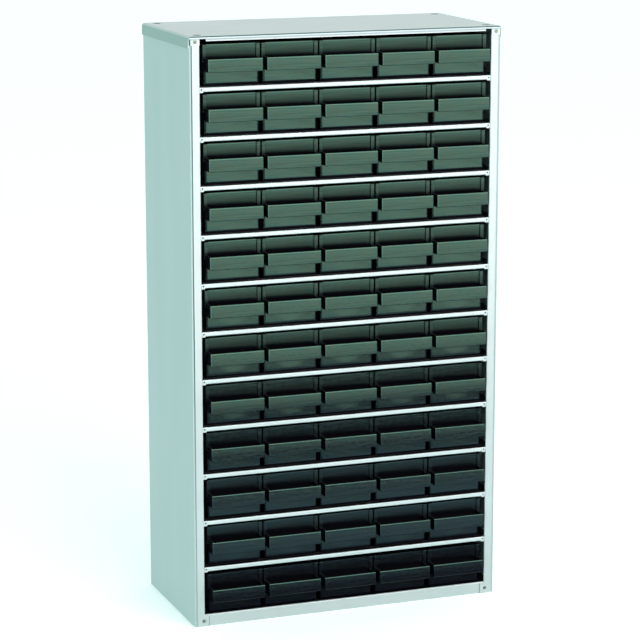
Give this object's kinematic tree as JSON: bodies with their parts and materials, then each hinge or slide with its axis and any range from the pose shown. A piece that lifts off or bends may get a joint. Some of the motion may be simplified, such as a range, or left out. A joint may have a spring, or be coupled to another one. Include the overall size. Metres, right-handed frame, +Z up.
{
  "type": "small parts drawer cabinet",
  "caption": "Upright steel cabinet with rows of pull-out smoked plastic drawers for sorting small parts and fasteners.",
  "frame": {"origin": "centre of the overall footprint, handles included, on the surface the cabinet stands on", "axes": "+Z up, +Y towards the back panel (the drawers face -Y and pull out along -Y), +X to the right as seen from the front"},
  "size_m": [0.306, 0.1526, 0.551],
  "materials": {
    "casing_steel": "satin",
    "rail_steel": "satin",
    "rivet_steel": "satin",
    "guide_plastic": "matte",
    "drawer_plastic": "gloss"
  },
  "bodies": {
    "casing": {"left_side_panel": "casing_steel", "right_side_panel": "casing_steel", "top_cover": "casing_steel", "bottom_tray": "casing_steel", "back_panel": "casing_steel", "shelves": "rail_steel", "column_guides": "guide_plastic", "corner_rivets": "rivet_steel"},
    "drawer_01_1": {"drawer_01_1": "drawer_plastic"},
    "drawer_01_2": {"drawer_01_2": "drawer_plastic"},
    "drawer_01_3": {"drawer_01_3": "drawer_plastic"},
    "drawer_01_4": {"drawer_01_4": "drawer_plastic"},
    "drawer_01_5": {"drawer_01_5": "drawer_plastic"},
    "drawer_02_1": {"drawer_02_1": "drawer_plastic"},
    "drawer_02_2": {"drawer_02_2": "drawer_plastic"},
    "drawer_02_3": {"drawer_02_3": "drawer_plastic"},
    "drawer_02_4": {"drawer_02_4": "drawer_plastic"},
    "drawer_02_5": {"drawer_02_5": "drawer_plastic"},
    "drawer_03_1": {"drawer_03_1": "drawer_plastic"},
    "drawer_03_2": {"drawer_03_2": "drawer_plastic"},
    "drawer_03_3": {"drawer_03_3": "drawer_plastic"},
    "drawer_03_4": {"drawer_03_4": "drawer_plastic"},
    "drawer_03_5": {"drawer_03_5": "drawer_plastic"},
    "drawer_04_1": {"drawer_04_1": "drawer_plastic"},
    "drawer_04_2": {"drawer_04_2": "drawer_plastic"},
    "drawer_04_3": {"drawer_04_3": "drawer_plastic"},
    "drawer_04_4": {"drawer_04_4": "drawer_plastic"},
    "drawer_04_5": {"drawer_04_5": "drawer_plastic"},
    "drawer_05_1": {"drawer_05_1": "drawer_plastic"},
    "drawer_05_2": {"drawer_05_2": "drawer_plastic"},
    "drawer_05_3": {"drawer_05_3": "drawer_plastic"},
    "drawer_05_4": {"drawer_05_4": "drawer_plastic"},
    "drawer_05_5": {"drawer_05_5": "drawer_plastic"},
    "drawer_06_1": {"drawer_06_1": "drawer_plastic"},
    "drawer_06_2": {"drawer_06_2": "drawer_plastic"},
    "drawer_06_3": {"drawer_06_3": "drawer_plastic"},
    "drawer_06_4": {"drawer_06_4": "drawer_plastic"},
    "drawer_06_5": {"drawer_06_5": "drawer_plastic"},
    "drawer_07_1": {"drawer_07_1": "drawer_plastic"},
    "drawer_07_2": {"drawer_07_2": "drawer_plastic"},
    "drawer_07_3": {"drawer_07_3": "drawer_plastic"},
    "drawer_07_4": {"drawer_07_4": "drawer_plastic"},
    "drawer_07_5": {"drawer_07_5": "drawer_plastic"},
    "drawer_08_1": {"drawer_08_1": "drawer_plastic"},
    "drawer_08_2": {"drawer_08_2": "drawer_plastic"},
    "drawer_08_3": {"drawer_08_3": "drawer_plastic"},
    "drawer_08_4": {"drawer_08_4": "drawer_plastic"},
    "drawer_08_5": {"drawer_08_5": "drawer_plastic"},
    "drawer_09_1": {"drawer_09_1": "drawer_plastic"},
    "drawer_09_2": {"drawer_09_2": "drawer_plastic"},
    "drawer_09_3": {"drawer_09_3": "drawer_plastic"},
    "drawer_09_4": {"drawer_09_4": "drawer_plastic"},
    "drawer_09_5": {"drawer_09_5": "drawer_plastic"},
    "drawer_10_1": {"drawer_10_1": "drawer_plastic"},
    "drawer_10_2": {"drawer_10_2": "drawer_plastic"},
    "drawer_10_3": {"drawer_10_3": "drawer_plastic"},
    "drawer_10_4": {"drawer_10_4": "drawer_plastic"},
    "drawer_10_5": {"drawer_10_5": "drawer_plastic"},
    "drawer_row_11": {"drawer_row_11": "drawer_plastic"},
    "drawer_row_12": {"drawer_row_12": "drawer_plastic"}
  },
  "joints": [
    {"name": "slide_01_1", "type": "slide", "parent": "casing", "child": "drawer_01_1", "axis": [0, -1, 0], "range_m": [0, 0.11]},
    {"name": "slide_01_2", "type": "slide", "parent": "casing", "child": "drawer_01_2", "axis": [0, -1, 0], "range_m": [0, 0.11]},
    {"name": "slide_01_3", "type": "slide", "parent": "casing", "child": "drawer_01_3", "axis": [0, -1, 0], "range_m": [0, 0.11]},
    {"name": "slide_01_4", "type": "slide", "parent": "casing", "child": "drawer_01_4", "axis": [0, -1, 0], "range_m": [0, 0.11]},
    {"name": "slide_01_5", "type": "slide", "parent": "casing", "child": "drawer_01_5", "axis": [0, -1, 0], "range_m": [0, 0.11]},
    {"name": "slide_02_1", "type": "slide", "parent": "casing", "child": "drawer_02_1", "axis": [0, -1, 0], "range_m": [0, 0.11]},
    {"name": "slide_02_2", "type": "slide", "parent": "casing", "child": "drawer_02_2", "axis": [0, -1, 0], "range_m": [0, 0.11]},
    {"name": "slide_02_3", "type": "slide", "parent": "casing", "child": "drawer_02_3", "axis": [0, -1, 0], "range_m": [0, 0.11]},
    {"name": "slide_02_4", "type": "slide", "parent": "casing", "child": "drawer_02_4", "axis": [0, -1, 0], "range_m": [0, 0.11]},
    {"name": "slide_02_5", "type": "slide", "parent": "casing", "child": "drawer_02_5", "axis": [0, -1, 0], "range_m": [0, 0.11]},
    {"name": "slide_03_1", "type": "slide", "parent": "casing", "child": "drawer_03_1", "axis": [0, -1, 0], "range_m": [0, 0.11]},
    {"name": "slide_03_2", "type": "slide", "parent": "casing", "child": "drawer_03_2", "axis": [0, -1, 0], "range_m": [0, 0.11]},
    {"name": "slide_03_3", "type": "slide", "parent": "casing", "child": "drawer_03_3", "axis": [0, -1, 0], "range_m": [0, 0.11]},
    {"name": "slide_03_4", "type": "slide", "parent": "casing", "child": "drawer_03_4", "axis": [0, -1, 0], "range_m": [0, 0.11]},
    {"name": "slide_03_5", "type": "slide", "parent": "casing", "child": "drawer_03_5", "axis": [0, -1, 0], "range_m": [0, 0.11]},
    {"name": "slide_04_1", "type": "slide", "parent": "casing", "child": "drawer_04_1", "axis": [0, -1, 0], "range_m": [0, 0.11]},
    {"name": "slide_04_2", "type": "slide", "parent": "casing", "child": "drawer_04_2", "axis": [0, -1, 0], "range_m": [0, 0.11]},
    {"name": "slide_04_3", "type": "slide", "parent": "casing", "child": "drawer_04_3", "axis": [0, -1, 0], "range_m": [0, 0.11]},
    {"name": "slide_04_4", "type": "slide", "parent": "casing", "child": "drawer_04_4", "axis": [0, -1, 0], "range_m": [0, 0.11]},
    {"name": "slide_04_5", "type": "slide", "parent": "casing", "child": "drawer_04_5", "axis": [0, -1, 0], "range_m": [0, 0.11]},
    {"name": "slide_05_1", "type": "slide", "parent": "casing", "child": "drawer_05_1", "axis": [0, -1, 0], "range_m": [0, 0.11]},
    {"name": "slide_05_2", "type": "slide", "parent": "casing", "child": "drawer_05_2", "axis": [0, -1, 0], "range_m": [0, 0.11]},
    {"name": "slide_05_3", "type": "slide", "parent": "casing", "child": "drawer_05_3", "axis": [0, -1, 0], "range_m": [0, 0.11]},
    {"name": "slide_05_4", "type": "slide", "parent": "casing", "child": "drawer_05_4", "axis": [0, -1, 0], "range_m": [0, 0.11]},
    {"name": "slide_05_5", "type": "slide", "parent": "casing", "child": "drawer_05_5", "axis": [0, -1, 0], "range_m": [0, 0.11]},
    {"name": "slide_06_1", "type": "slide", "parent": "casing", "child": "drawer_06_1", "axis": [0, -1, 0], "range_m": [0, 0.11]},
    {"name": "slide_06_2", "type": "slide", "parent": "casing", "child": "drawer_06_2", "axis": [0, -1, 0], "range_m": [0, 0.11]},
    {"name": "slide_06_3", "type": "slide", "parent": "casing", "child": "drawer_06_3", "axis": [0, -1, 0], "range_m": [0, 0.11]},
    {"name": "slide_06_4", "type": "slide", "parent": "casing", "child": "drawer_06_4", "axis": [0, -1, 0], "range_m": [0, 0.11]},
    {"name": "slide_06_5", "type": "slide", "parent": "casing", "child": "drawer_06_5", "axis": [0, -1, 0], "range_m": [0, 0.11]},
    {"name": "slide_07_1", "type": "slide", "parent": "casing", "child": "drawer_07_1", "axis": [0, -1, 0], "range_m": [0, 0.11]},
    {"name": "slide_07_2", "type": "slide", "parent": "casing", "child": "drawer_07_2", "axis": [0, -1, 0], "range_m": [0, 0.11]},
    {"name": "slide_07_3", "type": "slide", "parent": "casing", "child": "drawer_07_3", "axis": [0, -1, 0], "range_m": [0, 0.11]},
    {"name": "slide_07_4", "type": "slide", "parent": "casing", "child": "drawer_07_4", "axis": [0, -1, 0], "range_m": [0, 0.11]},
    {"name": "slide_07_5", "type": "slide", "parent": "casing", "child": "drawer_07_5", "axis": [0, -1, 0], "range_m": [0, 0.11]},
    {"name": "slide_08_1", "type": "slide", "parent": "casing", "child": "drawer_08_1", "axis": [0, -1, 0], "range_m": [0, 0.11]},
    {"name": "slide_08_2", "type": "slide", "parent": "casing", "child": "drawer_08_2", "axis": [0, -1, 0], "range_m": [0, 0.11]},
    {"name": "slide_08_3", "type": "slide", "parent": "casing", "child": "drawer_08_3", "axis": [0, -1, 0], "range_m": [0, 0.11]},
    {"name": "slide_08_4", "type": "slide", "parent": "casing", "child": "drawer_08_4", "axis": [0, -1, 0], "range_m": [0, 0.11]},
    {"name": "slide_08_5", "type": "slide", "parent": "casing", "child": "drawer_08_5", "axis": [0, -1, 0], "range_m": [0, 0.11]},
    {"name": "slide_09_1", "type": "slide", "parent": "casing", "child": "drawer_09_1", "axis": [0, -1, 0], "range_m": [0, 0.11]},
    {"name": "slide_09_2", "type": "slide", "parent": "casing", "child": "drawer_09_2", "axis": [0, -1, 0], "range_m": [0, 0.11]},
    {"name": "slide_09_3", "type": "slide", "parent": "casing", "child": "drawer_09_3", "axis": [0, -1, 0], "range_m": [0, 0.11]},
    {"name": "slide_09_4", "type": "slide", "parent": "casing", "child": "drawer_09_4", "axis": [0, -1, 0], "range_m": [0, 0.11]},
    {"name": "slide_09_5", "type": "slide", "parent": "casing", "child": "drawer_09_5", "axis": [0, -1, 0], "range_m": [0, 0.11]},
    {"name": "slide_10_1", "type": "slide", "parent": "casing", "child": "drawer_10_1", "axis": [0, -1, 0], "range_m": [0, 0.11]},
    {"name": "slide_10_2", "type": "slide", "parent": "casing", "child": "drawer_10_2", "axis": [0, -1, 0], "range_m": [0, 0.11]},
    {"name": "slide_10_3", "type": "slide", "parent": "casing", "child": "drawer_10_3", "axis": [0, -1, 0], "range_m": [0, 0.11]},
    {"name": "slide_10_4", "type": "slide", "parent": "casing", "child": "drawer_10_4", "axis": [0, -1, 0], "range_m": [0, 0.11]},
    {"name": "slide_10_5", "type": "slide", "parent": "casing", "child": "drawer_10_5", "axis": [0, -1, 0], "range_m": [0, 0.11]},
    {"name": "slide_row_11", "type": "slide", "parent": "casing", "child": "drawer_row_11", "axis": [0, -1, 0], "range_m": [0, 0.11]},
    {"name": "slide_row_12", "type": "slide", "parent": "casing", "child": "drawer_row_12", "axis": [0, -1, 0], "range_m": [0, 0.11]}
  ]
}
